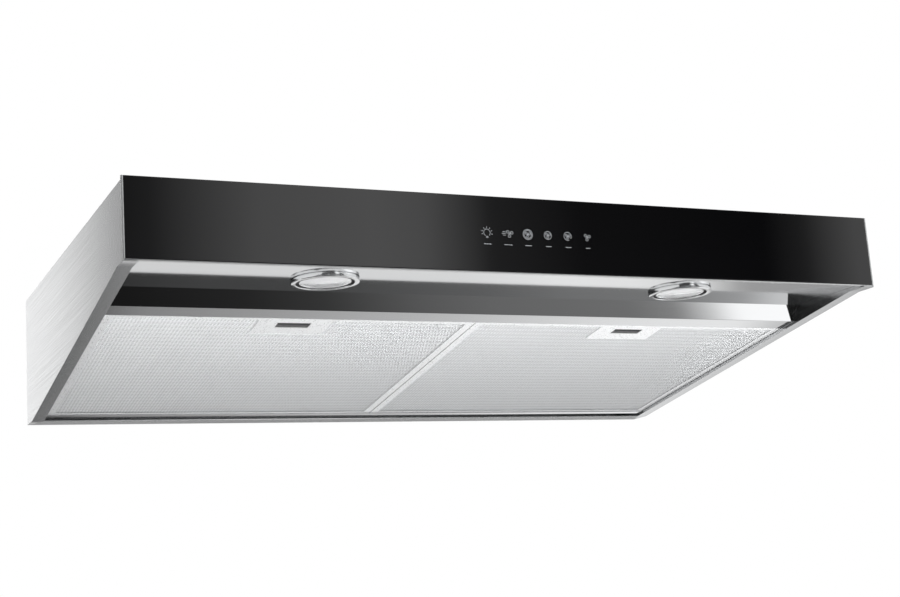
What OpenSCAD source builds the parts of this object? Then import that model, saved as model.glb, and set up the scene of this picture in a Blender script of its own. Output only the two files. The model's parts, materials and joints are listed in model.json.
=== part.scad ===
// Under cabinet range hood: a folded steel canopy with a black glass touch front, two lamps,
// two swing-down grease filters, a twin blower and a rectangular duct collar with a damper.
// The origin is the centre of the four cabinet screw holes, on the top face.
// +X is to the right, +Y to the wall, +Z up.

/* [Canopy] */
// Width over the side panels
hood_w = 913; // [760:1:1220]
// Depth from the face of the glass to the wall
hood_d = 560; // [500:1:680]
// Height of the side panels at the front
front_h = 82.4; // [80:0.2:100]
// Height of the side panels at the wall
rear_h = 164; // [140:1:200]
// Thickness of the folded sheet steel
sheet = 1; // [0.8:0.1:1.4]
// Level stretch of the lower edge at the front
front_run = 27; // [20:1:40]
// Level stretch of the lower edge at the wall
rear_run = 34; // [26:1:50]
// Width of the flange turned in along the lower edge
flange_w = 15; // [12:1:25]
// Corner cut at the upper rear of each side panel
corner_cut = 3; // [1:0.5:8]

/* [Glass front] */
// Height of the glass
glass_h = 83.5; // [80:0.5:100]
// Thickness of the glass
glass_t = 4; // [3:0.5:6]
// Height of the glass above the top plate
glass_rise = 4; // [0:0.5:8]
// Width of the steel edge beside the glass
trim_w = 2; // [1.5:0.5:4]
// Thickness of the foam tape behind the glass
tape_t = 1; // [0.8:0.1:2]
// Number of touch keys
key_count = 6; // [4:1:8]
// Distance between neighbouring touch keys
key_pitch = 24.8; // [20:0.2:30]
// Depth of the touch keys below the top of the glass
key_drop = 41; // [36:0.5:50]

/* [Lamps] */
// Distance of each lamp from the middle of the hood
lamp_x = 224; // [180:1:320]
// Distance of the lamps behind the face of the glass
lamp_y = 69; // [60:1:72]
// Depth of the lamp panel's underside below the top
lamp_drop = 78; // [72:0.5:84]
// Radius of the bezel
bezel_r = 37.2; // [34:0.2:42]
// Height of the bezel below the lamp panel
bezel_h = 4.5; // [2:0.5:8]
// Radius of the hole in the lamp panel
lamp_hole_r = 32; // [28:0.5:36]

/* [Front rail] */
// Distance of the rail's upper bend behind the face of the glass
rail_y = 126; // [118:1:140]
// Height of the rail's sloping front
rail_drop = 18.7; // [14:0.1:22]
// Depth of the rail's sloping front
rail_run = 13; // [8:0.5:20]
// Depth of the rail's lower lip
lip_w = 26; // [20:0.5:34]

/* [Filters] */
// Thickness of a filter
filter_t = 9; // [8:0.5:12]
// Thickness of the filter frame's sheet
frame_t = 0.8; // [0.6:0.1:1]
// Width of the frame's lip at the sides and at the back
frame_lip = 10; // [8:0.5:14]
// Width of the frame's lip at the front
front_lip = 6; // [4:0.5:6]
// Gap all round a filter
filter_gap = 0.75; // [0.5:0.05:1.5]
// Gap between the filters and the level part of the rear lip
rear_margin = 8; // [6:0.5:14]
// Width of the latch plate
latch_w = 88; // [70:1:110]
// Depth of the latch plate
latch_d = 48; // [46:1:56]
// Travel of the latch
latch_travel = 6; // [5.8:0.1:6.4]
// Length of the latch tongue over the rail
tongue_l = 5.5; // [4:0.5:5.5]

/* [Blower] */
// Width of each scroll housing
scroll_w = 72; // [60:1:76]
// Gap between a scroll housing and the middle of the hood
scroll_x = 52; // [50:1:60]
// Wall of the scroll housings
scroll_wall = 2; // [1.5:0.5:3]
// Radial gap between an impeller and its housing
scroll_gap = 12; // [9:0.5:16]
// Radius of the motor
motor_r = 34; // [28:1:38]
// Length of the motor
motor_l = 84; // [70:1:90]
// Radius of the shaft
shaft_r = 4; // [3:0.5:5]
// Radial running clearance of the shaft and the damper rod
run_clear = 0.05; // [0.02:0.01:0.1]
// Number of blades on an impeller
blades = 24; // [16:1:32]

/* [Duct] */
// Width of the duct collar
duct_w = 254; // [250:1:280]
// Depth of the duct collar
duct_l = 82.6; // [78:0.2:90]
// Height of the duct collar
collar_h = 36; // [30:1:50]
// Distance of the duct's centre from the wall
duct_back = 135; // [120:1:160]
// Wall of the duct collar
collar_wall = 1; // [0.8:0.1:1.5]

/* [Mounting] */
// Distance between the cabinet screw holes, left to right
bolt_dx = 760; // [560:1:900]
// Distance between the cabinet screw holes, front to back
bolt_dy = 300; // [240:1:340]
// Radius of the cabinet screw holes
bolt_r = 3.5; // [2.5:0.25:4]
// Distance between the wall screw holes
wall_dx = 640; // [480:1:700]
// Depth of the wall screw holes below the top
wall_drop = 30; // [24:1:50]
// Radius of the wiring knockout
knockout_r = 11.1; // [8:0.1:14]
// Distance of the wiring knockout from the middle of the hood
knockout_x = 250; // [220:1:320]

/* [Hidden] */
$fn = 64;
y_f = -hood_d / 2;
y_r = hood_d / 2;
y_s0 = y_f + front_run;
y_s1 = y_r - rear_run;
slope = (rear_h - front_h) / (y_s1 - y_s0);
slope_a = atan(slope);
function low_z(y) = -front_h - slope * (y - y_s0);

// Inside faces of the skins and of the returns beside the filters
skin_x = hood_w / 2 - sheet;
return_x = hood_w / 2 - flange_w;

// Glass and the beam behind it
glass_z1 = glass_rise;
glass_z0 = glass_rise - glass_h;
glass_w = hood_w - 2 * trim_w;
y_beam = y_f + glass_t + tape_t;
lip_gap = 0.3;
lip_z = glass_z0 - lip_gap - sheet;
beam_flange = 18;
key_z = glass_z1 - key_drop;
keys_w = (key_count - 1) * key_pitch;
key_margin = 9;
pad_r = 6;
board_w = keys_w + 44;
board_h = 30;
board_t = 1.6;
board_gap = 2;
carrier_wall = 2;
carrier_d = 8;
y_board = y_beam + sheet + board_gap;
tape_w = 12;

// Opening for a duct through the wall, closed by a plate on the inside
rear_port_w = 250;
rear_port_h = 80;
rear_port_z = -14;
cover_lap = 10;

// Lamp panel and front rail
lamp_z = -lamp_drop;
lamp_yc = y_f + lamp_y;
y_panel = y_beam + sheet;
panel_turn = 14;
can_flange = 4;
lap_gap = 3;
rail_lap = rail_y - lamp_y - lamp_hole_r - can_flange - lap_gap;
y_bend = y_f + rail_y;
rail_top = lamp_z + sheet;
y_nose = y_bend + rail_run;
z_nose = rail_top - sheet - rail_drop;
y_lip = y_nose + lip_w;
z_lip = z_nose - slope * lip_w;
side_gap = 0.3;

// Filters, in a frame that lies along the slope: y runs back and down, z is square to it
f_y = y_lip + filter_gap;
f_z = z_lip - slope * filter_gap;
function along(y, z) = [f_y + y * cos(slope_a) + z * sin(slope_a),
                        f_z - y * sin(slope_a) + z * cos(slope_a)];
filter_l = (y_s1 - rear_margin - f_y) / cos(slope_a);
filter_w = return_x - 2 * filter_gap;
filter_x = filter_gap + filter_w / 2;
pivot_back = 6;
pivot = along(filter_l - pivot_back, 0);
mesh_gap = 0.2;

// Latch
tray_y0 = frame_t + mesh_gap;
tray_t = 0.8;
tray_z = frame_t + 0.1;
slider_z = tray_z + tray_t + 0.3;
slider_t = 1.2;
tongue_w = 24;
slider_w = 40;
slider_y0 = 10;
slider_y1 = 38;
slot_w = 38;
slot_y0 = 15;
slot_y1 = 21;
tab_t = 1.2;
window_y1 = slot_y1 + tab_t + latch_travel + 2;
post_t = 1.2;
post_y = slider_y1 - 2;
post_h = 4;
spring_r = 1.6;
spring_wire = 0.35;
spring_turns = 6;
spring_z = slider_z + slider_t + 2.2;
spring_y0 = post_y + post_t + spring_wire + 0.1;
spring_y1 = tray_y0 + latch_d - tray_t - spring_wire - 0.1;

// Blower: the scrolls fill the height between the top plate and the filters
duct_y = y_r - duct_back;
neck_h = 12;
neck_margin = 1.3;
outlet_l = duct_l - 2 * collar_wall - 2 * neck_margin;
outlet_w = scroll_w - 2 * scroll_wall;
neck_l = outlet_l + 2 * scroll_wall;
scroll_clear = 10;
function filter_top(y) = f_z - slope * (y - f_y) + filter_t / cos(slope_a);
scroll_r = (-filter_top(duct_y) - scroll_clear - neck_h) / 2;
fan_y = duct_y + neck_l / 2 - scroll_r;
fan_z = -neck_h - scroll_r;
impeller_r = scroll_r - scroll_wall - scroll_gap;
impeller_side = 4;
impeller_w = scroll_w - 2 * scroll_wall - 2 * impeller_side;
inlet_r = impeller_r - 5;
blade_t = 1;
blade_depth = 9;
hub_r = 10;
hub_w = 20;
bearing_r = 9;
bearing_w = 8;
shaft_end = 4;
shaft_l = scroll_x + scroll_w - scroll_wall - shaft_end;
bell_t = 2;
stator_r = motor_r - bell_t;
core_r = 19;
core_l = 46;
air_gap = 1;
strap_w = 30;
strap_t = 1.5;
foot_l = 22;

// Duct collar and damper
collar_flange = 12;
flap_t = 1;
flap_z = 14;
flap_gap = 1.2;
rod_r = 1.5;
stop_t = 1;
stop_l = 6;
rod_y = duct_y - duct_l / 2 + collar_wall + flap_gap + rod_r + 1;

// Wiring
box_w = 110;
box_l = 90;
box_h = 46;
box_wall = 1;
box_x = knockout_x + 12;
box_y = duct_y - 4;
floor_z = -sheet - box_h;
wire_r = 2.5;
wire_z = -14;

steel = "gainsboro";
bright = "whitesmoke";
galv = "silver";
dark = [0.12, 0.12, 0.13];
alu = [0.88, 0.88, 0.89];
plastic = [0.25, 0.26, 0.28];
board = [0.05, 0.3, 0.18];
copper = [0.75, 0.45, 0.25];

// ---- shared shapes ----

// Extrudes a drawing of the side view, given as [y, z] points, along X
module across(x0, x1) {
  translate([x0, 0, 0]) rotate([90, 0, 90]) linear_extrude(x1 - x0) children();
}

function unit(v) = v / norm(v);
function left_of(v) = [-v[1], v[0]];
function step(p, i) = unit(p[i + 1] - p[i]);
function bend_point(p, i, t) =
  let (last = len(p) - 1)
  let (a = left_of(step(p, max(i - 1, 0))))
  let (b = left_of(step(p, min(i, last - 1))))
  p[i] + t * (a + b) / (1 + a * b);

// Outline of a sheet of thickness t folded along the path p, on the left of the path
function folded(p, t) = concat(p, [for (i = [len(p) - 1:-1:0]) bend_point(p, i, t)]);

module folded_sheet(p, x) {
  across(-x, x) polygon(folded(p, sheet));
}

module rect(x, y) {
  translate([-x / 2, -y / 2]) square([x, y]);
}

// A box given by its two corners
module block(a, b) {
  translate(a) cube(b - a);
}

module along_slope(side) {
  translate([side * filter_x, f_y, f_z]) rotate([-slope_a, 0, 0]) children();
}

module round_x(r, x0, x1) {
  translate([x0, 0, 0]) rotate([0, 90, 0]) cylinder(r = r, h = x1 - x0);
}

module on_fan_axis() {
  translate([0, fan_y, fan_z]) children();
}

// ---- canopy ----

module duct_ports(z0, z1) {
  for (s = [-1, 1])
    translate([s * (scroll_x + scroll_w / 2), duct_y, z0]) linear_extrude(z1 - z0)
      rect(outlet_w, outlet_l);
}

module top_panel() {
  color(steel) difference() {
    block([-skin_x, y_beam, -sheet], [skin_x, y_r - sheet, 0]);
    for (x = [-1, 1], y = [-1, 1])
      translate([x * bolt_dx / 2, y * bolt_dy / 2, -sheet - 1]) cylinder(r = bolt_r, h = sheet + 2);
    duct_ports(-sheet - 1, 1);
    translate([knockout_x, duct_y, -sheet - 1]) cylinder(r = knockout_r, h = sheet + 2);
  }
}

module rear_lip_plan() {
  polygon([[-skin_x, y_r], [skin_x, y_r], [return_x, y_s1], [-return_x, y_s1]]);
}

module rear_panel() {
  color(steel) difference() {
    union() {
      block([-skin_x, y_r - sheet, -rear_h + sheet], [skin_x, y_r, 0]);
      translate([0, 0, -rear_h]) linear_extrude(sheet) rear_lip_plan();
    }
    for (s = [-1, 1]) translate([s * wall_dx / 2, y_r + 1, -wall_drop]) rotate([90, 0, 0])
      cylinder(r = bolt_r, h = sheet + 2);
    block([-rear_port_w / 2, y_r - sheet - 1, rear_port_z - rear_port_h],
          [rear_port_w / 2, y_r + 1, rear_port_z]);
  }
}

module rear_cover_plate() {
  color(galv) block([-rear_port_w / 2 - cover_lap, y_r - 2 * sheet, rear_port_z - rear_port_h - cover_lap],
                    [rear_port_w / 2 + cover_lap, y_r - sheet, rear_port_z + cover_lap]);
}

skin_outline = [[y_f + glass_t, 0], [y_r - corner_cut, 0], [y_r, -corner_cut], [y_r, -rear_h],
  [y_s1, -rear_h], [y_s0, -front_h], [y_f, -front_h], [y_f, glass_z0 - lip_gap],
  [y_f + glass_t, glass_z0 - lip_gap]];

flange_outline = [[y_f, -front_h + sheet], [y_f, -front_h], [y_s0, -front_h], [y_s1, -rear_h],
  [y_r, -rear_h], [y_r, -rear_h + sheet], [y_s1, -rear_h + sheet], [y_s0, -front_h + sheet]];

return_rise = lamp_z - low_z(y_bend);
return_outline = [[y_panel, lamp_z], [y_panel, -front_h], [y_s0, -front_h], [y_s1, -rear_h],
  [y_s1, -rear_h + return_rise], [y_bend, lamp_z]];

// The right-hand panel; the left one is its mirror image
module side_panel() {
  color(steel) {
    across(skin_x, hood_w / 2) polygon(skin_outline);
    difference() {
      across(return_x, skin_x) polygon(flange_outline);
      translate([0, 0, -rear_h - 1]) linear_extrude(sheet + 2) rear_lip_plan();
    }
    across(return_x, return_x + sheet) polygon(return_outline);
  }
}

module left_side_panel() {
  mirror([1, 0, 0]) side_panel();
}

module right_side_panel() {
  side_panel();
}

// The opening behind the touch keys, from y0 back to y1
module key_window(y0, y1) {
  block([-keys_w / 2 - key_margin, y0, key_z - key_margin],
        [keys_w / 2 + key_margin, y1, key_z + key_margin]);
}

module front_beam() {
  color(steel) difference() {
    folded_sheet([[y_f + lip_gap, lip_z], [y_panel, lip_z], [y_panel, -2 * sheet],
      [y_panel + beam_flange, -2 * sheet]], skin_x);
    key_window(y_beam - 1, y_panel + 1);
  }
}

// ---- glass front ----

module glass_fascia() {
  color(dark) block([-glass_w / 2, y_f, glass_z0], [glass_w / 2, y_f + glass_t, glass_z1]);
}

module right_trim() {
  color(bright) block([glass_w / 2, y_f, glass_z0], [hood_w / 2, y_f + glass_t, glass_z1]);
}

module left_trim() {
  mirror([1, 0, 0]) right_trim();
}

tape_z0 = glass_z0 + 2;

module fascia_tape() {
  color(dark) for (z = [tape_z0, -2 * sheet - tape_w])
    block([-glass_w / 2 + 4, y_f + glass_t, z], [glass_w / 2 - 4, y_beam, z + tape_w]);
}

module touch_pads() {
  color(copper) for (i = [0:key_count - 1])
    translate([-keys_w / 2 + i * key_pitch, y_f + glass_t, key_z]) rotate([-90, 0, 0])
      cylinder(r = pad_r, h = y_board - y_f - glass_t);
}

module touch_board() {
  color(board) block([-board_w / 2, y_board, key_z - board_h / 2],
                     [board_w / 2, y_board + board_t, key_z + board_h / 2]);
}

module board_carrier() {
  color(plastic) difference() {
    block([-board_w / 2 - carrier_wall, y_panel, key_z - board_h / 2 - carrier_wall],
          [board_w / 2 + carrier_wall, y_board + board_t + carrier_d, key_z + board_h / 2 + carrier_wall]);
    block([-board_w / 2, y_board, key_z - board_h / 2],
          [board_w / 2, y_board + board_t + carrier_d + 1, key_z + board_h / 2]);
    key_window(y_panel - 1, y_board + 1);
  }
}

// ---- lamp panel and rails ----

module lamp_panel() {
  color(bright) difference() {
    folded_sheet([[y_panel, lamp_z + panel_turn], [y_panel, lamp_z], [y_bend, lamp_z]], skin_x);
    for (s = [-1, 1]) translate([s * lamp_x, lamp_yc, lamp_z - 1])
      cylinder(r = lamp_hole_r, h = sheet + 2);
  }
}

module front_rail() {
  color(bright) folded_sheet([[y_bend - rail_lap, rail_top], [y_bend, rail_top],
    [y_nose, z_nose], [y_lip, z_lip]], return_x - side_gap);
}

ledge_gap = 0.3;
web_gap = 1.5;
web_h = 14;

module rear_rail() {
  z0 = -ledge_gap - sheet;
  y1 = filter_l + web_gap + sheet;
  top = along(y1, web_h);
  color(bright) folded_sheet([along(filter_l - pivot_back, z0), along(y1, z0), top,
    [y_r - sheet, top[1]], [y_r - sheet, top[1] + web_h]], return_x - side_gap);
}

// ---- lamps ----

bezel_in = 29;
bezel_lip = 1.5;
lens_t = 3;
lens_r = bezel_in - 0.2;
can_h = 44;
can_wall = 1;
bulb_r = 8;
reflector_steps = 6;
reflector_h = 26;

module at_lamp(side) {
  translate([side * lamp_x, lamp_yc, lamp_z]) children();
}

// A ring that stands below the panel, with a neck that passes up through the hole
module lamp_bezel(side) {
  color(bright) at_lamp(side) rotate_extrude(angle = 360) polygon([
    [bezel_in, -bezel_h + bezel_lip], [bezel_in + bezel_lip, -bezel_h], [bezel_r - 3, -bezel_h],
    [bezel_r, -bezel_h / 3], [bezel_r, 0], [lamp_hole_r - side_gap, 0],
    [lamp_hole_r - side_gap, 6], [bezel_in, 6]]);
}

module lamp_lens(side) {
  color([0.9, 0.95, 1, 0.5]) at_lamp(side) translate([0, 0, -1]) cylinder(r = lens_r, h = lens_t);
}

function dish_r(k) = bulb_r + 3 + (lens_r - bulb_r - 4) * sqrt(1 - k / reflector_steps);
function dish_z(k) = lens_t - 1 + reflector_h * k / reflector_steps;

// A stepped dish: each step is a short cone between two radii of a parabola
module lamp_reflector(side) {
  color(bright) at_lamp(side) rotate_extrude(angle = 360) polygon(concat(
    [for (k = [0:reflector_steps]) [dish_r(k), dish_z(k)]],
    [for (k = [reflector_steps:-1:0]) [dish_r(k) + 0.8, dish_z(k)]]));
}

module lamp_bulb(side) {
  color("ivory") at_lamp(side) {
    translate([0, 0, 11]) sphere(r = bulb_r);
    translate([0, 0, 11]) cylinder(r = bulb_r - 2, h = can_h - can_wall - 11);
  }
}

module lamp_can(side) {
  color(galv) at_lamp(side) difference() {
    union() {
      translate([0, 0, sheet]) cylinder(r = lamp_hole_r + can_flange, h = can_wall);
      translate([0, 0, sheet]) cylinder(r = lamp_hole_r + can_wall, h = can_h - sheet);
    }
    translate([0, 0, sheet - 1]) cylinder(r = lamp_hole_r, h = can_h - can_wall - sheet + 1);
  }
}

module left_lamp_bezel() { lamp_bezel(-1); }
module right_lamp_bezel() { lamp_bezel(1); }
module left_lamp_lens() { lamp_lens(-1); }
module right_lamp_lens() { lamp_lens(1); }
module left_lamp_reflector() { lamp_reflector(-1); }
module right_lamp_reflector() { lamp_reflector(1); }
module left_lamp_bulb() { lamp_bulb(-1); }
module right_lamp_bulb() { lamp_bulb(1); }
module left_lamp_can() { lamp_can(-1); }
module right_lamp_can() { lamp_can(1); }

// ---- filters ----

tongue_slot_gap = 0.4;

module tongue_slot(y0, y1) {
  block([-tongue_w / 2 - tongue_slot_gap, y0, slider_z - tongue_slot_gap],
        [tongue_w / 2 + tongue_slot_gap, y1, slider_z + slider_t + tongue_slot_gap]);
}

module filter_frame(side) {
  x = filter_w / 2;
  color(alu) along_slope(side) difference() {
    block([-x, 0, 0], [x, filter_l, filter_t]);
    block([-x + frame_t, frame_t, frame_t], [x - frame_t, filter_l - frame_t, filter_t - frame_t]);
    block([-x + frame_lip, front_lip, -1], [x - frame_lip, filter_l - frame_lip, filter_t + 1]);
    tongue_slot(-1, frame_t + 1);
  }
}

module mesh_pack(side) {
  x = filter_w / 2 - frame_t - mesh_gap;
  y0 = frame_t + mesh_gap;
  latch_x = latch_w / 2 + mesh_gap;
  color(alu) along_slope(side) difference() {
    block([-x, y0, y0], [x, filter_l - y0, filter_t - y0]);
    block([-latch_x, -1, -1], [latch_x, tray_y0 + latch_d + mesh_gap, filter_t + 1]);
  }
}

// A tray open at the top; its floor is the plate that shows, with a window for the finger tab
module latch_plate(side) {
  x = latch_w / 2;
  y1 = tray_y0 + latch_d;
  color(bright) along_slope(side) difference() {
    block([-x, tray_y0, tray_z], [x, y1, filter_t - frame_t - mesh_gap]);
    block([-x + tray_t, tray_y0 + tray_t, tray_z + tray_t], [x - tray_t, y1 - tray_t, filter_t]);
    block([-slot_w / 2 - 1, slot_y0, -1], [slot_w / 2 + 1, window_y1, tray_z + tray_t + 1]);
    tongue_slot(0, tray_y0 + tray_t + 1);
  }
}

module latch_slider(side) {
  z1 = slider_z + slider_t;
  color(alu) along_slope(side) {
    difference() {
      union() {
        block([-tongue_w / 2, -tongue_l, slider_z], [tongue_w / 2, slider_y0, z1]);
        block([-slider_w / 2, slider_y0, slider_z], [slider_w / 2, slider_y1, z1]);
      }
      block([-slot_w / 2 + 1, slot_y0, slider_z - 1], [slot_w / 2 - 1, slot_y1, z1 + 1]);
    }
    block([-slot_w / 2 + 1, slot_y1, frame_t / 2], [slot_w / 2 - 1, slot_y1 + tab_t, slider_z]);
    block([-spring_r - 2, post_y, z1], [spring_r + 2, post_y + post_t, z1 + post_h]);
  }
}

// One ring of points round the wire at turn t, then the triangles that join the rings
ring_sides = 6;
turn_steps = 12;
function coil_ring(t) =
  let (a = 360 * t)
  let (y = spring_y0 + (spring_y1 - spring_y0) * t / spring_turns)
  [for (k = [0:ring_sides - 1])
    let (b = 360 * k / ring_sides)
    let (r = spring_r + spring_wire * cos(b))
    [r * cos(a), y + spring_wire * sin(b), spring_z + r * sin(a)]];

module latch_spring(side) {
  rings = spring_turns * turn_steps;
  pts = [for (i = [0:rings]) each coil_ring(i / turn_steps)];
  walls = [for (i = [0:rings - 1], k = [0:ring_sides - 1])
    let (a = i * ring_sides, n = (k + 1) % ring_sides)
    [a + k, a + ring_sides + k, a + ring_sides + n, a + n]];
  first = [for (k = [0:ring_sides - 1]) k];
  final = [for (k = [ring_sides - 1:-1:0]) rings * ring_sides + k];
  color(galv) along_slope(side) polyhedron(points = pts, faces = concat([first, final], walls));
}

module left_filter_frame() { filter_frame(-1); }
module right_filter_frame() { filter_frame(1); }
module left_mesh_pack() { mesh_pack(-1); }
module right_mesh_pack() { mesh_pack(1); }
module left_latch_plate() { latch_plate(-1); }
module right_latch_plate() { latch_plate(1); }
module left_latch_slider() { latch_slider(-1); }
module right_latch_slider() { latch_slider(1); }
module left_latch_spring() { latch_spring(-1); }
module right_latch_spring() { latch_spring(1); }

// ---- blower ----

shaft_hole_r = 16;

// Side view of a scroll, round the fan axis: a drum with an outlet neck up to the top plate
module scroll_outline(inset, top) {
  circle(r = scroll_r - inset);
  translate([scroll_r - neck_l + inset, 0]) square([neck_l - 2 * inset, top]);
}

// Drawn on the right; the left one is mirrored
module on_fan_side(side) {
  on_fan_axis() mirror([side > 0 ? 0 : 1, 0, 0]) children();
}

module scroll(side) {
  x1 = scroll_x + scroll_w;
  top = -fan_z - sheet;
  color(plastic) on_fan_side(side) difference() {
    across(scroll_x, x1) scroll_outline(0, top);
    across(scroll_x + scroll_wall, x1 - scroll_wall) scroll_outline(scroll_wall, top + 1);
    round_x(inlet_r, x1 - scroll_wall - 1, x1 + 1);
    round_x(shaft_hole_r, scroll_x - 1, scroll_x + scroll_wall + 1);
  }
}

ring_flange = 6;
ring_t = 1.5;

// A bellmouth round the inlet, outside the end wall
module inlet_ring(side) {
  x = scroll_x + scroll_w;
  color(galv) on_fan_side(side) difference() {
    union() {
      round_x(inlet_r + ring_flange, x, x + ring_t);
      round_x(inlet_r + ring_t, x, x + ring_flange);
    }
    round_x(inlet_r, x - 1, x + ring_flange + 1);
  }
}

module impeller(side) {
  x0 = scroll_x + scroll_wall + impeller_side;
  x1 = x0 + impeller_w;
  color(plastic) on_fan_side(side) difference() {
    union() {
      round_x(impeller_r, x0, x0 + 2);
      difference() {
        round_x(impeller_r, x1 - 3, x1);
        round_x(impeller_r - blade_depth, x1 - 4, x1 + 1);
      }
      for (i = [0:blades - 1]) rotate([i * 360 / blades, 0, 0])
        translate([x0 + 1, impeller_r - blade_depth, 0]) rotate([20, 0, 0])
          cube([impeller_w - 2, blade_depth - 1.5, blade_t]);
      round_x(hub_r, x0, x0 + hub_w);
    }
    round_x(shaft_r, x0 - 1, x1 + 1);
  }
}

module fan_shaft() {
  color(galv) on_fan_axis() round_x(shaft_r, -shaft_l, shaft_l);
}

module rotor_core() {
  color(galv) on_fan_axis() difference() {
    round_x(core_r, -core_l / 2, core_l / 2);
    round_x(shaft_r, -core_l, core_l);
  }
}

module motor_stator() {
  color(copper) on_fan_axis() difference() {
    round_x(stator_r, -core_l / 2 - 4, core_l / 2 + 4);
    round_x(core_r + air_gap, -core_l, core_l);
  }
}

module motor_bearings() {
  x0 = motor_l / 2 - bell_t - bearing_w;
  color(galv) on_fan_axis() for (s = [0, 1]) mirror([s, 0, 0]) difference() {
    round_x(bearing_r, x0, x0 + bearing_w);
    round_x(shaft_r + run_clear, x0 - 1, x0 + bearing_w + 1);
  }
}

// A drum with closed ends and a boss inside each end round the bearing
module motor_housing() {
  x1 = motor_l / 2;
  boss = bearing_r + bell_t;
  color(galv) on_fan_axis() difference() {
    round_x(motor_r, -x1, x1);
    difference() {
      round_x(stator_r, -x1 + bell_t, x1 - bell_t);
      for (s = [0, 1]) mirror([s, 0, 0]) round_x(boss, x1 - bell_t - bearing_w, x1);
    }
    for (s = [0, 1]) mirror([s, 0, 0]) round_x(bearing_r, x1 - bell_t - bearing_w - 1, x1 - bell_t);
    round_x(shaft_r + 2, -x1 - 1, x1 + 1);
  }
}

// A strap round the motor with two feet under the top plate
module motor_bracket() {
  r1 = motor_r + strap_t;
  top = -fan_z - sheet;
  color(galv) on_fan_axis() {
    difference() {
      across(-strap_w / 2, strap_w / 2) union() {
        circle(r = r1);
        for (s = [-1, 1]) translate([s * (r1 - strap_t / 2) - strap_t / 2, 0])
          square([strap_t, top]);
      }
      round_x(motor_r, -strap_w, strap_w);
    }
    for (s = [0, 1]) mirror([0, s, 0])
      block([-strap_w / 2, r1, top - strap_t], [strap_w / 2, r1 + foot_l, top]);
  }
}

module left_scroll() { scroll(-1); }
module right_scroll() { scroll(1); }
module left_inlet_ring() { inlet_ring(-1); }
module right_inlet_ring() { inlet_ring(1); }
module left_impeller() { impeller(-1); }
module right_impeller() { impeller(1); }

// ---- wiring ----

// A box given by two corners, each from the middle of the junction box's floor
module in_box(a, b) {
  translate([box_x, box_y, floor_z]) block(a, b);
}

module junction_box() {
  color(galv) difference() {
    in_box([-box_w / 2, -box_l / 2, 0], [box_w / 2, box_l / 2, box_h]);
    in_box([-box_w / 2 + box_wall, -box_l / 2 + box_wall, -1],
           [box_w / 2 - box_wall, box_l / 2 - box_wall, box_h - box_wall]);
    translate([knockout_x, duct_y, -sheet - box_wall - 1]) cylinder(r = knockout_r, h = box_wall + 2);
  }
}

module junction_cover() {
  color(galv) in_box([-box_w / 2, -box_l / 2, -box_wall], [box_w / 2, box_l / 2, 0]);
}

terminal_w = 16;
terminal_x = 16;
terminal_l = 60;
terminal_pitch = 10;
terminal_r = 3;

module terminal_block() {
  color("ivory") difference() {
    in_box([terminal_x - terminal_w / 2, -terminal_l / 2, 0],
           [terminal_x + terminal_w / 2, terminal_l / 2, terminal_w]);
    for (i = [-2:2]) translate([box_x + terminal_x, box_y + i * terminal_pitch, floor_z + terminal_w / 2])
      cylinder(r = terminal_r, h = terminal_w);
  }
}

control_w = 40;
control_l = 76;
control_x = -26;
stand_h = 4;
relay_h = 16;

// A board on four stands, with a relay and a row of sockets on it
module control_board() {
  top = stand_h + board_t;
  color(board) {
    in_box([control_x - control_w / 2, -control_l / 2, stand_h],
           [control_x + control_w / 2, control_l / 2, top]);
    for (x = [-1, 1], y = [-1, 1]) translate([x * (control_w / 2 - 4), y * (control_l / 2 - 4), 0])
      in_box([control_x - 2, -2, 0], [control_x + 2, 2, stand_h]);
    in_box([control_x - 12, -20, top], [control_x + 12, 6, top + relay_h]);
    in_box([control_x - 16, 16, top], [control_x + 16, 26, top + relay_h / 2]);
  }
}

cap_r = 15;
cap_l = 60;
cap_gap = 30;
cap_stud_r = 4;
cap_stud_l = 8;
cap_x = box_x - box_w / 2 - cap_r - cap_gap;

module capacitor() {
  color("whitesmoke") translate([-cap_x, duct_y, -sheet - cap_r]) rotate([90, 0, 0]) {
    cylinder(r = cap_r, h = cap_l, center = true);
    translate([0, 0, -cap_l / 2 - cap_stud_l]) cylinder(r = cap_stud_r, h = cap_l);
  }
}

// Straight runs between corners, with a ball at each corner
module wire(p) {
  for (i = [0:len(p) - 2]) {
    d = p[i + 1] - p[i];
    translate(p[i]) rotate([0, acos(d[2] / norm(d)), atan2(d[1], d[0])])
      cylinder(r = wire_r, h = norm(d), $fn = 24);
    if (i > 0) translate(p[i]) sphere(r = wire_r, $fn = 24);
  }
}

loom_y = lamp_yc + 52;
box_front = box_y - box_l / 2;
can_top = lamp_z + can_h;

module wire_harness() {
  color(dark) {
    wire([[box_x, box_front, wire_z], [box_x, loom_y, wire_z], [lamp_x, loom_y, wire_z],
          [lamp_x, lamp_yc, wire_z], [lamp_x, lamp_yc, can_top]]);
    wire([[lamp_x, loom_y, wire_z], [-lamp_x, loom_y, wire_z], [-lamp_x, lamp_yc, wire_z],
          [-lamp_x, lamp_yc, can_top]]);
    wire([[0, loom_y, wire_z], [0, y_board + board_t + 14, wire_z],
          [0, y_board + board_t + 14, key_z], [0, y_board + board_t, key_z]]);
    wire([[0, loom_y, wire_z], [0, fan_y - motor_r - foot_l - 14, wire_z],
          [0, fan_y - motor_r - foot_l - 14, fan_z], [0, fan_y - motor_r - strap_t, fan_z]]);
  }
}

// ---- duct ----

module collar_ring(inset, z0, z1) {
  translate([0, duct_y, z0]) linear_extrude(z1 - z0) difference() {
    rect(duct_w, duct_l);
    rect(duct_w - 2 * inset, duct_l - 2 * inset);
  }
}

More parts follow.
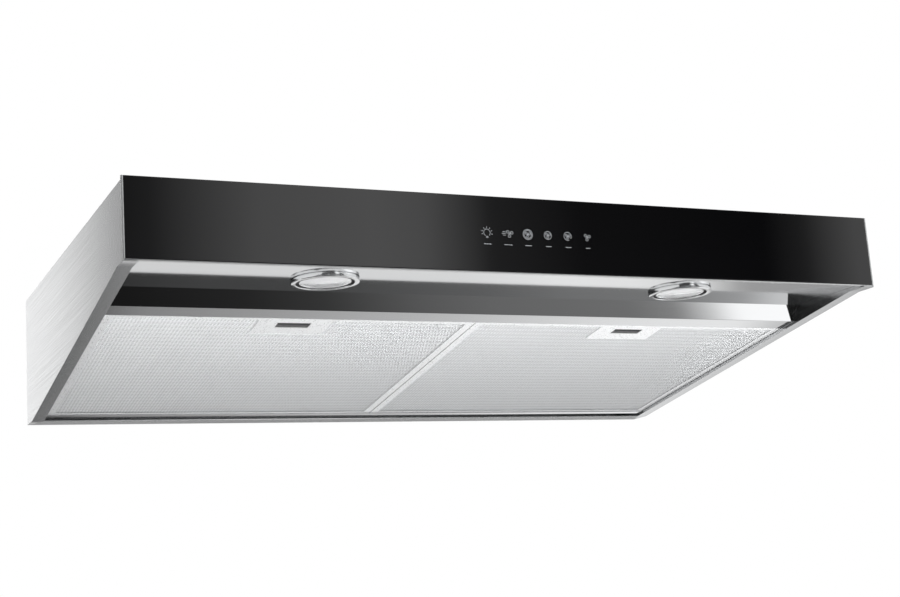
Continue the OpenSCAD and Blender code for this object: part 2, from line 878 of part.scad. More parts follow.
module duct_collar() {
  y1 = duct_y + duct_l / 2 - collar_wall;
  color(galv) difference() {
    union() {
      collar_ring(collar_wall, 0, collar_h);
      translate([0, duct_y, 0]) linear_extrude(collar_wall) difference() {
        rect(duct_w + 2 * collar_flange, duct_l + 2 * collar_flange);
        rect(duct_w, duct_l);
      }
      block([-duct_w / 2 + 4, y1 - stop_l, flap_z - flap_t / 2 - stop_t - 0.3],
            [duct_w / 2 - 4, y1, flap_z - flap_t / 2 - 0.3]);
    }
    translate([0, rod_y, flap_z]) round_x(rod_r + run_clear, -duct_w, duct_w);
  }
}

module damper_rod() {
  color(galv) translate([0, rod_y, flap_z]) round_x(rod_r, -duct_w / 2, duct_w / 2);
}

module damper_flap() {
  x = duct_w / 2 - collar_wall - flap_gap;
  y1 = duct_y + duct_l / 2 - collar_wall - flap_gap;
  color(alu) difference() {
    union() {
      block([-x, rod_y, flap_z - flap_t / 2], [x, y1, flap_z + flap_t / 2]);
      translate([0, rod_y, flap_z]) round_x(rod_r + 1, -x, x);
    }
    translate([0, rod_y, flap_z]) round_x(rod_r, -duct_w, duct_w);
  }
}

// ---- fasteners ----

head_r = 4;
head_h = 2;

module rivet_head() {
  cylinder(r = head_r, h = head_h);
}

// The rear cover's rivets, inside, and the collar's, on its flange
module body_rivets() {
  color(galv) {
    for (x = [-1, 1], z = [0, 1]) translate([x * (rear_port_w + cover_lap) / 2, y_r - 2 * sheet,
      rear_port_z + cover_lap / 2 - z * (rear_port_h + cover_lap)]) rotate([90, 0, 0]) rivet_head();
    for (x = [-1, 0, 1], s = [-1, 1]) translate([x * (duct_w + collar_flange) / 2,
      duct_y + s * (duct_l + collar_flange) / 2, collar_wall]) rivet_head();
  }
}

// Under the feet of the motor bracket
module bracket_rivets() {
  color(galv) for (s = [-1, 1], x = [-1, 1])
    translate([x * strap_w / 4, fan_y + s * (motor_r + strap_t + foot_l / 2), -sheet - strap_t - head_h])
      rivet_head();
}

top_panel();
rear_panel();
rear_cover_plate();
left_side_panel();
right_side_panel();
front_beam();
glass_fascia();
left_trim();
right_trim();
fascia_tape();
board_carrier();
touch_board();
touch_pads();
lamp_panel();
front_rail();
rear_rail();
left_lamp_bezel();
right_lamp_bezel();
left_lamp_lens();
right_lamp_lens();
left_lamp_reflector();
right_lamp_reflector();
left_lamp_bulb();
right_lamp_bulb();
left_lamp_can();
right_lamp_can();
left_filter_frame();
right_filter_frame();
left_mesh_pack();
right_mesh_pack();
left_latch_plate();
right_latch_plate();
left_latch_slider();
right_latch_slider();
left_latch_spring();
right_latch_spring();
left_scroll();
right_scroll();
left_inlet_ring();
right_inlet_ring();
motor_housing();
motor_stator();
motor_bearings();
motor_bracket();
fan_shaft();
rotor_core();
left_impeller();
right_impeller();
capacitor();
junction_box();
junction_cover();
terminal_block();
control_board();
wire_harness();
duct_collar();
damper_flap();
damper_rod();
body_rivets();
bracket_rivets();
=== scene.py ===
"""Looks of an under cabinet range hood: brushed canopy, glass front, lamps, mesh filters and blower."""

import json
import math

import bmesh
import bpy
from mathutils import Matrix, Vector

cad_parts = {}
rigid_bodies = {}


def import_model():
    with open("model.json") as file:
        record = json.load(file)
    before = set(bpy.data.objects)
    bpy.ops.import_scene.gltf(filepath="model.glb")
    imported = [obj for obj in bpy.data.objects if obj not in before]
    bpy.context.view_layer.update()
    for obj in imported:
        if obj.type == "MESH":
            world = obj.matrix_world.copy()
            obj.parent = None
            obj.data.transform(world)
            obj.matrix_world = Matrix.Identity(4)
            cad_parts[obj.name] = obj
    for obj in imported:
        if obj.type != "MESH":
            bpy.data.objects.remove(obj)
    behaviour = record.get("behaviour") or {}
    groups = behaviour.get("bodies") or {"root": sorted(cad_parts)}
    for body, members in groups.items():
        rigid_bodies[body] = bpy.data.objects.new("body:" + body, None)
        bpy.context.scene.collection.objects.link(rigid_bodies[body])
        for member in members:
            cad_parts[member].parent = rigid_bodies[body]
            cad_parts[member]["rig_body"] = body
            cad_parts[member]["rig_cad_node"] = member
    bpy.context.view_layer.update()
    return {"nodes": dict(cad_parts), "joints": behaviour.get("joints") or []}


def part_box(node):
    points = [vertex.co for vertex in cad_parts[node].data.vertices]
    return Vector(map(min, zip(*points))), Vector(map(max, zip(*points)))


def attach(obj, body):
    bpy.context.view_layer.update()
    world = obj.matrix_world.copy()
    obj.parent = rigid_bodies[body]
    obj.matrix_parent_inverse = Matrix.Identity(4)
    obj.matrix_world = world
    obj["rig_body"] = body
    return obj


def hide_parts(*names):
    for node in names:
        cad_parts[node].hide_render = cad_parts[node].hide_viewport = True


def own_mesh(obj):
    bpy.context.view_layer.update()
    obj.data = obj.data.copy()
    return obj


bl_info = {
    "name": "Under Cabinet Range Hood",
    "version": (1, 0, 0),
    "blender": (4, 5, 0),
    "location": "View3D > Sidebar > Range Hood",
    "description": "Builds the visual pieces of a range hood round its packed frame",
    "category": "Object",
}

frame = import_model()
MM = 0.001
SIDES = ("left", "right")


# ---- sizes and colours ----


def srgb_to_linear(c):
    return c / 12.92 if c <= 0.04045 else ((c + 0.055) / 1.055) ** 2.4


def hex_colour(code):
    """Linear RGB of an sRGB hex code such as #c8c9cb."""
    return tuple(srgb_to_linear(int(code[i : i + 2], 16) / 255) for i in (1, 3, 5))


def colour(name, code):
    return bpy.props.FloatVectorProperty(
        name=name, description=f"Colour of the {name.lower()}", subtype="COLOR",
        size=3, min=0, max=1, default=hex_colour(code),
    )


def length(name, description, mm):
    return bpy.props.FloatProperty(
        name=name, description=description, unit="LENGTH", min=0, default=mm * MM, precision=5
    )


class HoodSizes(bpy.types.PropertyGroup):
    fold_radius: length("Fold radius", "Outside radius of a fold in the sheet steel", 0.8)
    edge_radius: length("Edge radius", "Radius of a cut edge", 0.25)
    glass_arris: length("Glass arris", "Width of the ground edge round the glass", 0.7)
    print_line: length("Print line", "Width of a printed line", 0.44)
    dash_drop: length("Dash drop", "From a sign's centre down to the dash below it", 12.6)
    print_height: length("Print height", "How far the print stands on the glass", 0.15)
    strand: length("Strand", "Width of a strand of the expanded mesh", 1.0)
    cell_long: length("Cell length", "Long way of a mesh opening", 12.0)
    cell_short: length("Cell width", "Short way of a mesh opening", 4.1)
    lens_crown: length("Lens crown", "How far the lens bulges", 1.0)
    facets: bpy.props.IntProperty(name="Facets", description="Facets round a reflector", default=28)


class HoodColours(bpy.types.PropertyGroup):
    stainless: colour("Stainless steel", "#dadbdc")
    aluminium: colour("Aluminium", "#e9eaeb")
    glass: colour("Glass backing", "#050506")
    ink: colour("Printed ink", "#a6a9ad")
    chrome: colour("Chrome", "#e4e5e6")
    zinc: colour("Zinc coating", "#a9adb1")
    plastic: colour("Black plastic", "#1d1e20")
    board: colour("Solder mask", "#0f4a2c")
    copper: colour("Enamelled copper", "#b06a3b")
    ivory: colour("Terminal plastic", "#ddd8c6")


def sizes():
    return bpy.context.scene.hood_sizes


def colours():
    return bpy.context.scene.hood_colours


# ---- materials ----


def add_node(material, kind, sockets=None, **settings):
    """A node with its settings, and a value or another node's output for each named socket."""
    tree = material.node_tree
    node = tree.nodes.new(kind)
    for key, value in settings.items():
        setattr(node, key, value)
    for name, value in (sockets or {}).items():
        if isinstance(value, bpy.types.NodeSocket):
            tree.links.new(value, node.inputs[name])
        else:
            node.inputs[name].default_value = value
    return node


def new_material(name, base, **settings):
    """A material with one shader, whose plain sockets take the given settings."""
    material = bpy.data.materials.new(name)
    material.use_nodes = True
    shader = material.node_tree.nodes["Principled BSDF"]
    shader.inputs["Base Color"].default_value = (*base, 1)
    for key, value in settings.items():
        shader.inputs[key.replace("_", " ").title().replace("Ior", "IOR")].default_value = value
    return material, shader


def link(material, output, shader, socket):
    material.node_tree.links.new(output, shader.inputs[socket])


def per(mm):
    """How often something that many millimetres long fits into a metre."""
    return 1 / (mm * MM)


def waves(mm):
    """The scale that sets a wave texture's straight bands that many millimetres apart."""
    return math.tau / (20 * mm * MM)


def grained(along, width, run):
    """Scale of a grain that is width mm wide and run mm long, along one axis."""
    scale = [per(width)] * 3
    scale["XYZ".index(along)] = per(run)
    return scale


def pattern(material, kind, scale, sockets=None, **settings):
    """A texture laid in the piece's own place, with its scale per metre on each axis."""
    coords = add_node(material, "ShaderNodeTexCoord")
    placed = add_node(
        material, "ShaderNodeMapping", {"Vector": coords.outputs["Object"], "Scale": scale}
    )
    sockets = {"Vector": placed.outputs["Vector"], "Scale": 1.0, **(sockets or {})}
    return add_node(material, kind, sockets, **settings)


def vary(material, shader, amount, tones=None, rough=None, span=(0.3, 0.7), relief=None):
    """Lets a pattern change a surface's colour, roughness and height.

    tones are the colours at 0 and 1, rough is the roughness at both ends of span, and relief is
    the strength and the height of the bumps.
    """
    if tones:
        mix = add_node(material, "ShaderNodeMix", {0: amount}, data_type="RGBA")
        mix.inputs["A"].default_value = (*tones[0], 1)
        mix.inputs["B"].default_value = (*tones[1], 1)
        link(material, mix.outputs["Result"], shader, "Base Color")
    if rough:
        ends = {"From Min": span[0], "From Max": span[1], "To Min": rough[0], "To Max": rough[1]}
        spread = add_node(material, "ShaderNodeMapRange", {"Value": amount, **ends})
        link(material, spread.outputs["Result"], shader, "Roughness")
    if relief:
        strength, height = relief
        raised = add_node(
            material, "ShaderNodeBump", {"Height": amount, "Strength": strength, "Distance": height}
        )
        link(material, raised.outputs["Normal"], shader, "Normal")


def shade(c, factor):
    return tuple(min(1, x * factor) for x in c)


def brushed_steel(name, along, rough, depth):
    """Stainless sheet, belt ground along one axis: long fine scratches that smear reflections."""
    base = tuple(colours().stainless)
    material, shader = new_material(name, base, metallic=1, roughness=rough)
    # the grit's lines are 0.05 mm apart, and 0.625 mm is what still shows
    lines = pattern(
        material, "ShaderNodeTexNoise", grained(along, 0.625, 250), {"Detail": 4.0, "Roughness": 0.65}
    ).outputs["Fac"]
    tones = shade(base, 0.96), shade(base, 1.03)
    vary(
        material, shader, lines, tones, (rough * 0.85, rough * 1.2), relief=(depth, 0.1 * MM)
    )
    return material


def side_steel():
    return brushed_steel("brushed_stainless_side", "Y", 0.2, 0.02)


def front_steel():
    return brushed_steel("brushed_stainless_front", "X", 0.22, 0.03)


def bright_steel():
    """Bright rolled stainless with a fine grain along X: almost a mirror."""
    return brushed_steel("bright_rolled_stainless", "X", 0.07, 0.015)


def black_glass():
    """Tempered glass, painted black behind: a deep black under a clear mirror face."""
    material, shader = new_material(
        "back_painted_glass", tuple(colours().glass), roughness=0.03, ior=1.52
    )
    # roller waves from tempering
    waviness = per(167), per(167), per(111)
    ripple = pattern(material, "ShaderNodeTexNoise", waviness, {"Detail": 1.0}).outputs["Fac"]
    vary(material, shader, ripple, relief=(0.04, 0.4 * MM))
    return material


def screen_print():
    """Baked ceramic ink: matt pale grey with the dots of the screen, 0.4 mm apart."""
    ink = tuple(colours().ink)
    material, shader = new_material("ceramic_ink", ink, roughness=0.6)
    dots = pattern(material, "ShaderNodeTexVoronoi", [per(0.4)] * 3).outputs["Distance"]
    vary(material, shader, dots, (ink, shade(ink, 0.8)))
    return material


def chrome_plate():
    """Chrome on a turned zinc ring: a clear mirror, a little duller in patches of 4 mm."""
    base = tuple(colours().chrome)
    material, shader = new_material("chrome_plate", base, metallic=1, roughness=0.06)
    wear = pattern(material, "ShaderNodeTexNoise", [per(4)] * 3, {"Detail": 3.0}).outputs["Fac"]
    vary(material, shader, wear, rough=(0.04, 0.1))
    return material


def lamp_glass():
    """Pressed glass: half clear, with an uneven skin that breaks up the light."""
    material, shader = new_material(
        "pressed_glass", hex_colour("#fcfdfe"), roughness=0.12, ior=1.5, transmission_weight=0.62
    )
    skin = pattern(material, "ShaderNodeTexNoise", [per(5.56)] * 3, {"Detail": 2.0}).outputs["Fac"]
    vary(material, shader, skin, relief=(0.15, 0.4 * MM))
    return material


def mirror_coating():
    """Aluminium vapour on a pressed dish: a bright mirror, slightly orange-peeled."""
    material, shader = new_material(
        "vapour_aluminium", hex_colour("#f7f7f6"), metallic=1, roughness=0.08
    )
    peel = pattern(material, "ShaderNodeTexNoise", [per(4.55)] * 3, {"Detail": 2.0}).outputs["Fac"]
    vary(material, shader, peel, relief=(0.2, 0.3 * MM))
    return material


def frosted_bulb():
    """Acid-etched quartz: milky and soft, with a faint cloud."""
    material, shader = new_material(
        "etched_quartz", hex_colour("#eae8e5"), roughness=0.35, ior=1.46, subsurface_weight=0.2
    )
    cloud = pattern(material, "ShaderNodeTexNoise", [per(11.1)] * 3, {"Detail": 2.0}).outputs["Fac"]
    vary(material, shader, cloud, (hex_colour("#efedea"), hex_colour("#dad8d4")))
    return material


def frame_aluminium():
    """Rolled aluminium sheet: pale, with a soft sheen and a grain from front to back."""
    base = tuple(colours().aluminium)
    material, shader = new_material("rolled_aluminium", base, metallic=0.5, roughness=0.3)
    grain = pattern(
        material, "ShaderNodeTexNoise", grained("Y", 2 / 3, 40), {"Detail": 3.0}
    ).outputs["Fac"]
    tones = shade(base, 0.96), shade(base, 1.04)
    vary(material, shader, grain, tones, (0.255, 0.36), relief=(0.03, 0.1 * MM))
    return material


def pressed_ridges(material):
    """Ridges pressed into the foil from front to back, 4.1 mm apart and slightly uneven: the mask for their
    bumps and for their painted shade.
    """
    return pattern(
        material, "ShaderNodeTexWave", [waves(4.1)] * 3,
        {"Distortion": 0.6, "Detail": 1.0, "Detail Scale": 0.4},
        wave_type="BANDS", bands_direction="X",
    ).outputs["Fac"]


def slider_painted_shade():
    """The latch slider's sheet, darkened to 0.16 of the aluminium: painted shade for the recess behind the
    slot.
    """
    # painted shade: the aluminium at 0.16, dark like the shaded recess behind the latch's slot
    base = shade(tuple(colours().aluminium), 0.16)
    material, shader = new_material("painted_shade_aluminium", base, metallic=0.6, roughness=0.5)
    grain = pattern(material, "ShaderNodeTexNoise", [per(1.43)] * 3, {"Detail": 2.0}).outputs["Fac"]
    vary(material, shader, grain, rough=(0.42, 0.6))
    return material


def mesh_aluminium():
    """Slit and stretched aluminium foil: cut edges scatter the light, so it looks almost white, with painted
    shade and light along its pressed ridges.
    """
    base = tuple(colours().aluminium)
    material, shader = new_material("expanded_aluminium", base, metallic=0.2, roughness=0.5)
    # painted shade and light: from 0.76 to 1.04 of the aluminium across each ridge
    tones = shade(base, 0.76), shade(base, 1.04)
    vary(material, shader, pressed_ridges(material), tones, relief=(0.25, 0.5 * MM))
    return material


def foil_core():
    """The stack of foil layers deep in a filter: crossed strands, with painted shade between them and along
    the pressed ridges.
    """
    base = tuple(colours().aluminium)
    material, shader = new_material("foil_layers", base, metallic=0.2, roughness=0.6)
    # diagonal bands run at half the rate of straight ones: 5.7 mm apart on X and 11.4 on Y
    rate = waves(5.7) * 2
    left, right = [
        pattern(
            material, "ShaderNodeTexWave", (slant * rate, rate / 2, 0), {"Distortion": 1.5},
            wave_type="BANDS", bands_direction="DIAGONAL",
        ).outputs["Fac"]
        for slant in (1, -1)
    ]
    both = add_node(material, "ShaderNodeMath", {0: left, 1: right}, operation="MULTIPLY")
    ridges = pressed_ridges(material)
    foil = add_node(material, "ShaderNodeMath", {0: both.outputs[0], 1: ridges}, operation="ADD")
    # painted shade: 0.8 of the aluminium between the strands and on the ridges, full aluminium on the
    # strands
    vary(material, shader, foil.outputs[0], (shade(base, 0.8), base))
    vary(material, shader, ridges, relief=(0.25, 0.6 * MM))
    return material


def zinc_coat():
    """Hot-dip galvanised sheet: grey zinc with crystal patches about 8 mm across."""
    base = tuple(colours().zinc)
    material, shader = new_material("hot_dip_zinc", base, metallic=0.9, roughness=0.42)
    spangle = pattern(material, "ShaderNodeTexVoronoi", [per(8.33)] * 3).outputs["Color"]
    tone = add_node(material, "ShaderNodeSeparateColor", {"Color": spangle}).outputs["Red"]
    vary(material, shader, tone, (shade(base, 0.8), shade(base, 1.15)), (0.34, 0.5), (0, 1))
    return material


def moulded_plastic(name, base, rough):
    """Injection moulded plastic with a spark-eroded grain of about half a millimetre."""
    material, shader = new_material(name, base, roughness=rough, ior=1.5)
    grain = pattern(material, "ShaderNodeTexNoise", [per(0.556)] * 3, {"Detail": 2.0}).outputs["Fac"]
    vary(material, shader, grain, rough=(rough * 0.9, rough * 1.15), relief=(0.15, 0.1 * MM))
    return material


def black_abs():
    return moulded_plastic("black_abs", tuple(colours().plastic), 0.42)


def ivory_nylon():
    return moulded_plastic("ivory_nylon", tuple(colours().ivory), 0.5)


def circuit_board():
    """Glass epoxy under green solder mask, with copper tracks that show through."""
    base = tuple(colours().board)
    material, shader = new_material("solder_mask", base, roughness=0.3, ior=1.5)
    inks = {"Color1": (*base, 1), "Color2": (*shade(base, 0.85), 1), "Mortar": (*shade(base, 2), 1)}
    # fields of 3.6 x 1.8 mm between tracks 0.4 mm wide
    tracks = pattern(
        material, "ShaderNodeTexBrick", [per(7.14)] * 3, {"Mortar Size": 0.03, **inks}
    )
    link(material, tracks.outputs["Color"], shader, "Base Color")
    return material


def enamelled_copper():
    """Close turns of varnished wire, drawn 1.75 mm apart so that they show, with painted shade between the
    turns and a painted highlight along them.
    """
    base = tuple(colours().copper)
    material, shader = new_material("enamelled_copper", base, metallic=0.85, roughness=0.3)
    turns = pattern(
        material, "ShaderNodeTexWave", [waves(1.745)] * 3, {"Distortion": 0.4},
        wave_type="BANDS", bands_direction="X",
    ).outputs["Fac"]
    # painted shade and highlight: 0.5 of the copper between the turns, 1.1 on them
    tones = shade(base, 0.5), shade(base, 1.1)
    vary(material, shader, turns, tones, relief=(0.5, 0.4 * MM))
    return material


def drawn_steel():
    """Ground shafts and spring wire: bright steel with fine turning marks."""
    material, shader = new_material("drawn_steel", hex_colour("#c5c5c7"), metallic=1, roughness=0.25)
    turned = per(1.11), per(16.7), per(16.7)
    marks = pattern(material, "ShaderNodeTexNoise", turned, {"Detail": 2.0}).outputs["Fac"]
    vary(material, shader, marks, rough=(0.2, 0.34))
    return material


def soft_black(name, pore, rough):
    """Closed foam or cable sheath: matt black with pores or a skin texture pore mm wide."""
    material, shader = new_material(name, hex_colour("#1d1d1e"), roughness=rough, ior=1.45)
    pores = pattern(material, "ShaderNodeTexNoise", [per(pore)] * 3, {"Detail": 2.0}).outputs["Fac"]
    vary(material, shader, pores, relief=(0.4, 0.3 * MM))
    return material


def foam_rubber():
    return soft_black("closed_cell_foam", 0.714, 0.85)


def cable_sheath():
    return soft_black("pvc_sheath", 1.43, 0.45)


# each finish with the function that makes it and its row in the record
MAKERS = {
    "side_steel": (side_steel, "brushed_stainless"),
    "front_steel": (front_steel, "brushed_stainless"),
    "bright_steel": (bright_steel, "bright_stainless"),
    "black_glass": (black_glass, "black_glass"),
    "screen_print": (screen_print, "black_glass"),
    "chrome_plate": (chrome_plate, "chrome_plate"),
    "lamp_glass": (lamp_glass, "clear_glass"),
    "mirror_coating": (mirror_coating, "mirror_aluminium"),
    "frosted_bulb": (frosted_bulb, "frosted_bulb"),
    "frame_aluminium": (frame_aluminium, "filter_aluminium"),
    "mesh_aluminium": (mesh_aluminium, "filter_aluminium"),
    "slider_painted_shade": (slider_painted_shade, "filter_aluminium"),
    "foil_core": (foil_core, "filter_aluminium"),
    "zinc_coat": (zinc_coat, "galvanised_steel"),
    "black_abs": (black_abs, "black_plastic"),
    "ivory_nylon": (ivory_nylon, "ivory_plastic"),
    "circuit_board": (circuit_board, "circuit_board"),
    "enamelled_copper": (enamelled_copper, "copper_winding"),
    "drawn_steel": (drawn_steel, "spring_steel"),
    "foam_rubber": (foam_rubber, "foam_tape"),
    "cable_sheath": (cable_sheath, "black_insulation"),
}
made = {}  # the materials made so far, by finish


def finish_of(name):
    """The material of that finish, made once."""
    if name not in made:
        made[name] = MAKERS[name][0]()
    return made[name]


# ---- modelling ----


def select_only(*pieces):
    if bpy.context.object and bpy.context.object.mode != "OBJECT":
        bpy.ops.object.mode_set(mode="OBJECT")
    bpy.ops.object.select_all(action="DESELECT")
    for piece in pieces:
        piece.select_set(True)
    if pieces:
        bpy.context.view_layer.objects.active = pieces[0]


def pick(piece, faces=None, edges=None, verts=None):
    """Enters edit mode with only the faces, edges or vertices that the test accepts selected."""
    select_only(piece)
    bpy.ops.object.mode_set(mode="EDIT")
    kind = "FACE" if faces else "EDGE" if edges else "VERT"
    bpy.ops.mesh.select_mode(type=kind)
    bpy.ops.mesh.select_all(action="DESELECT")
    mesh = bmesh.from_edit_mesh(piece.data)
    for item in mesh.faces if faces else mesh.edges if edges else mesh.verts:
        if (faces or edges or verts)(item):
            item.select_set(True)
    mesh.select_flush_mode()
    bmesh.update_edit_mesh(piece.data)


def leave_edit():
    bpy.ops.object.mode_set(mode="OBJECT")


def everything(item):
    return True


def middle(face):
    return face.calc_center_median()


def tidy_mesh(piece):
    """Merges doubles and turns all faces outwards."""
    pick(piece, verts=everything)
    bpy.ops.mesh.remove_doubles(threshold=0.000005)
    bpy.ops.mesh.normals_make_consistent(inside=False)
    leave_edit()


def modify(piece, kind, **settings):
    """Adds a modifier with its settings and applies it."""
    select_only(piece)
    modifier = piece.modifiers.new(kind.title(), kind)
    for key, value in settings.items():
        setattr(modifier, key, value)
    bpy.ops.object.modifier_apply(modifier=modifier.name)


def bevel(piece, width, segments=2, angle=30):
    modify(
        piece, "BEVEL", width=width, segments=segments, limit_method="ANGLE",
        angle_limit=math.radians(angle), miter_outer="MITER_ARC",
    )


def bake_place(piece):
    """Puts the piece's place into its mesh, with the object at the origin."""
    select_only(piece)
    bpy.ops.object.transform_apply(location=True, rotation=True, scale=True)


def join(name, pieces):
    select_only(*pieces)
    bpy.ops.object.join()
    whole = bpy.context.active_object
    whole.name = name
    return whole


def complete(piece, name, body, finish, nodes=(), smooth=30, weighted=False):
    """Names the piece, paints it, smooths it and lets it ride on its body."""
    if not piece.data.polygons:
        raise RuntimeError(f"{name} came out with no faces")
    piece.name = name
    piece.data.name = name
    piece.data.materials.clear()
    piece.data.materials.append(finish_of(finish))
    select_only(piece)
    bpy.ops.object.shade_smooth_by_angle(angle=math.radians(smooth))
    if weighted:
        modify(piece, "WEIGHTED_NORMAL", keep_sharp=True, weight=100)
    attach(piece, body)
    if nodes:
        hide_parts(*nodes)
    return piece


def box_piece(low, high):
    """A cube primitive between two corners."""
    low, high = Vector(low), Vector(high)
    select_only()
    bpy.ops.mesh.primitive_cube_add(size=1, location=(low + high) / 2, scale=high - low)
    piece = bpy.context.active_object
    bake_place(piece)
    return piece


def body_of(node):
    return frame["nodes"][node]["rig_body"]


def copy_of(piece):
    """A copy with its own mesh, left selected."""
    select_only(piece)
    bpy.ops.object.duplicate()
    return bpy.context.active_object


def soft_copy(node, width, segments=2, angle=30):
    """A copy of a CAD node with its doubles merged and its edges rounded."""
    piece = copy_of(frame["nodes"][node])
    bpy.ops.object.parent_clear(type="CLEAR_KEEP_TRANSFORM")
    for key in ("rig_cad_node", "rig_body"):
        del piece[key]
    pick(piece, verts=everything)
    bpy.ops.mesh.remove_doubles(threshold=0.000005)
    bpy.ops.mesh.dissolve_limited(angle_limit=math.radians(1))
    leave_edit()
    bevel(piece, width, segments, angle)
    return piece


def soften(node, finish, width, segments=2, smooth=30):
    piece = soft_copy(node, width, segments)
    return complete(piece, node + "_shaped", body_of(node), finish, [node], smooth, True)


def lathe(points, steps, place):
    """Draws a profile of (radius, height) points and spins it round a vertical axis at place."""
    select_only()
    bpy.ops.mesh.primitive_plane_add(size=MM)
    piece = bpy.context.active_object
    bpy.ops.object.mode_set(mode="EDIT")
    bpy.ops.mesh.select_mode(type="VERT")
    bpy.ops.mesh.select_all(action="SELECT")
    bpy.ops.mesh.merge(type="CENTER")
    bpy.ops.transform.translate(value=(points[0][0], 0, points[0][1]))
    for a, b in zip(points, points[1:]):
        bpy.ops.mesh.extrude_region_move(
            TRANSFORM_OT_translate={"value": (b[0] - a[0], 0, b[1] - a[1])}
        )
    bpy.ops.mesh.select_all(action="SELECT")
    bpy.ops.mesh.spin(steps=steps, angle=math.tau, center=(0, 0, 0), axis=(0, 0, 1))
    leave_edit()
    tidy_mesh(piece)
    piece.location = place
    bake_place(piece)
    return piece


def arc(centre, radius, start, end, count):
    """Points on an arc of a profile, from start to end degrees."""
    return [
        (
            centre[0] + radius * math.cos(math.radians(start + (end - start) * i / count)),
            centre[1] + radius * math.sin(math.radians(start + (end - start) * i / count)),
        )
        for i in range(count + 1)
    ]


# ---- the canopy's folded sheets ----

SHEETS = {
    "top_panel": "front_steel", "rear_panel": "front_steel", "front_beam": "front_steel",
    "left_side_panel": "side_steel", "right_side_panel": "side_steel",
    "left_trim": "side_steel", "right_trim": "side_steel",
    "lamp_panel": "bright_steel", "rear_rail": "bright_steel",
}


class HOOD_OT_canopy(bpy.types.Operator):
    """Rounds the folds of the canopy's sheets and grinds their faces"""

    bl_idname = "hood.canopy"
    bl_label = "Canopy sheets"

    def execute(self, context):
        for node, finish in SHEETS.items():
            wide = node in ("lamp_panel", "front_beam")
            soften(node, finish, sizes().fold_radius * 0.6 if wide else sizes().edge_radius)
        rail = soft_copy("front_rail", sizes().fold_radius, 3, 5)
        body = body_of("front_rail")
        complete(rail, "front_rail_shaped", body, "bright_steel", ["front_rail"], 30, True)
        return {"FINISHED"}


# ---- the glass front and its prints ----


def stroke(points, width, face):
    """A printed line through [x, z] points on the plane y = face, as one flat strip per stretch."""
    strips = []
    for a, b in zip(points, points[1:]):
        middle = ((a[0] + b[0]) / 2, face, (a[1] + b[1]) / 2)
        run = math.hypot(b[0] - a[0], b[1] - a[1])
        turn = math.atan2(b[1] - a[1], b[0] - a[0])
        select_only()
        bpy.ops.mesh.primitive_plane_add(size=1, location=middle, rotation=(math.pi / 2, -turn, 0))
        strip = bpy.context.active_object
        strip.scale = (run + width, width, 1)
        bake_place(strip)
        strips.append(strip)
    return strips


def polar(centre, radius, degrees):
    return (
        centre[0] + radius * math.cos(math.radians(degrees)),
        centre[1] + radius * math.sin(math.radians(degrees)),
    )


def ring(centre, radius, width, face, start=0, end=360):
    """A printed ring, or the arc of one from start to end degrees."""
    outer, middle_point = radius + width / 2, (centre[0], face, centre[1])
    select_only()
    bpy.ops.mesh.primitive_circle_add(
        vertices=36, radius=outer, location=middle_point, rotation=(math.pi / 2, 0, 0)
    )
    piece = bpy.context.active_object
    bake_place(piece)

    def left_out(v):
        angle = math.degrees(math.atan2(v.co.z - centre[1], v.co.x - centre[0]))
        return (angle - start) % 360 > end - start + 0.1

    if end - start < 360:
        pick(piece, verts=left_out)
        bpy.ops.mesh.delete(type="VERT")
        leave_edit()
    pick(piece, edges=everything)
    bpy.ops.mesh.extrude_region()
    bpy.ops.transform.resize(value=[1 - width / outer] * 3, center_override=middle_point)
    leave_edit()
    return [piece]


def petals(centre, radius, width, face, count=3, twist=20):
    """Fan blades drawn as closed loops round a hub."""
    strips = ring(centre, radius * 0.16, width, face)
    for i in range(count):
        turn = twist + 360 * i / count
        bulge = polar(centre, radius * 0.62, turn)
        strips += ring(bulge, radius * 0.33, width, face)
    return strips


def bulb_sign(c, w, face):
    strips = ring(c, 3.9 * MM, w, face, -60, 240)
    for drop in (4.3, 5.5):
        strips += stroke([(c[0] - 1.2 * MM, c[1] - drop * MM), (c[0] + 1.2 * MM, c[1] - drop * MM)], w, face)
    for turn in range(-15, 196, 35):
        strips += stroke([polar(c, 5.3 * MM, turn), polar(c, 6.6 * MM, turn)], w, face)
    return strips


def speed_sign(c, w, face):
    hub = (c[0] + 2.6 * MM, c[1])
    strips = petals(hub, 4.6 * MM, w, face)
    for lift, run in ((2.0, 3.0), (0, 4.4), (-2.0, 3.0)):
        end = (c[0] - 2.4 * MM, c[1] + lift * MM)
        strips += stroke([(end[0] - run * MM, end[1]), end], w, face)
    return strips


def ringed_sign(rings):
    def draw(c, w, face):
        strips = petals(c, 3.6 * MM, w, face)
        for i in range(rings):
            strips += ring(c, (4.5 + 1.2 * i) * MM, w, face)
        return strips

    return draw


def arrow_sign(c, w, face):
    strips = petals(c, 3.4 * MM, w, face) + ring(c, 4.6 * MM, w, face, -30, 290)
    tip = polar(c, 4.6 * MM, -30)
    for turn in (60, 140):
        strips += stroke([tip, polar(tip, 1.6 * MM, turn)], w, face)
    return strips


def plain_sign(c, w, face):
    return petals(c, 4.4 * MM, w, face)


# each sign's drawing and the length of the dash below it
SIGNS = {
    "lamp_sign": (bulb_sign, 8.6), "boost_sign": (speed_sign, 9.2),
    "high_sign": (ringed_sign(2), 7.4), "medium_sign": (ringed_sign(1), 6.2),
    "low_sign": (arrow_sign, 6.4), "stop_sign": (plain_sign, 5.0),
}


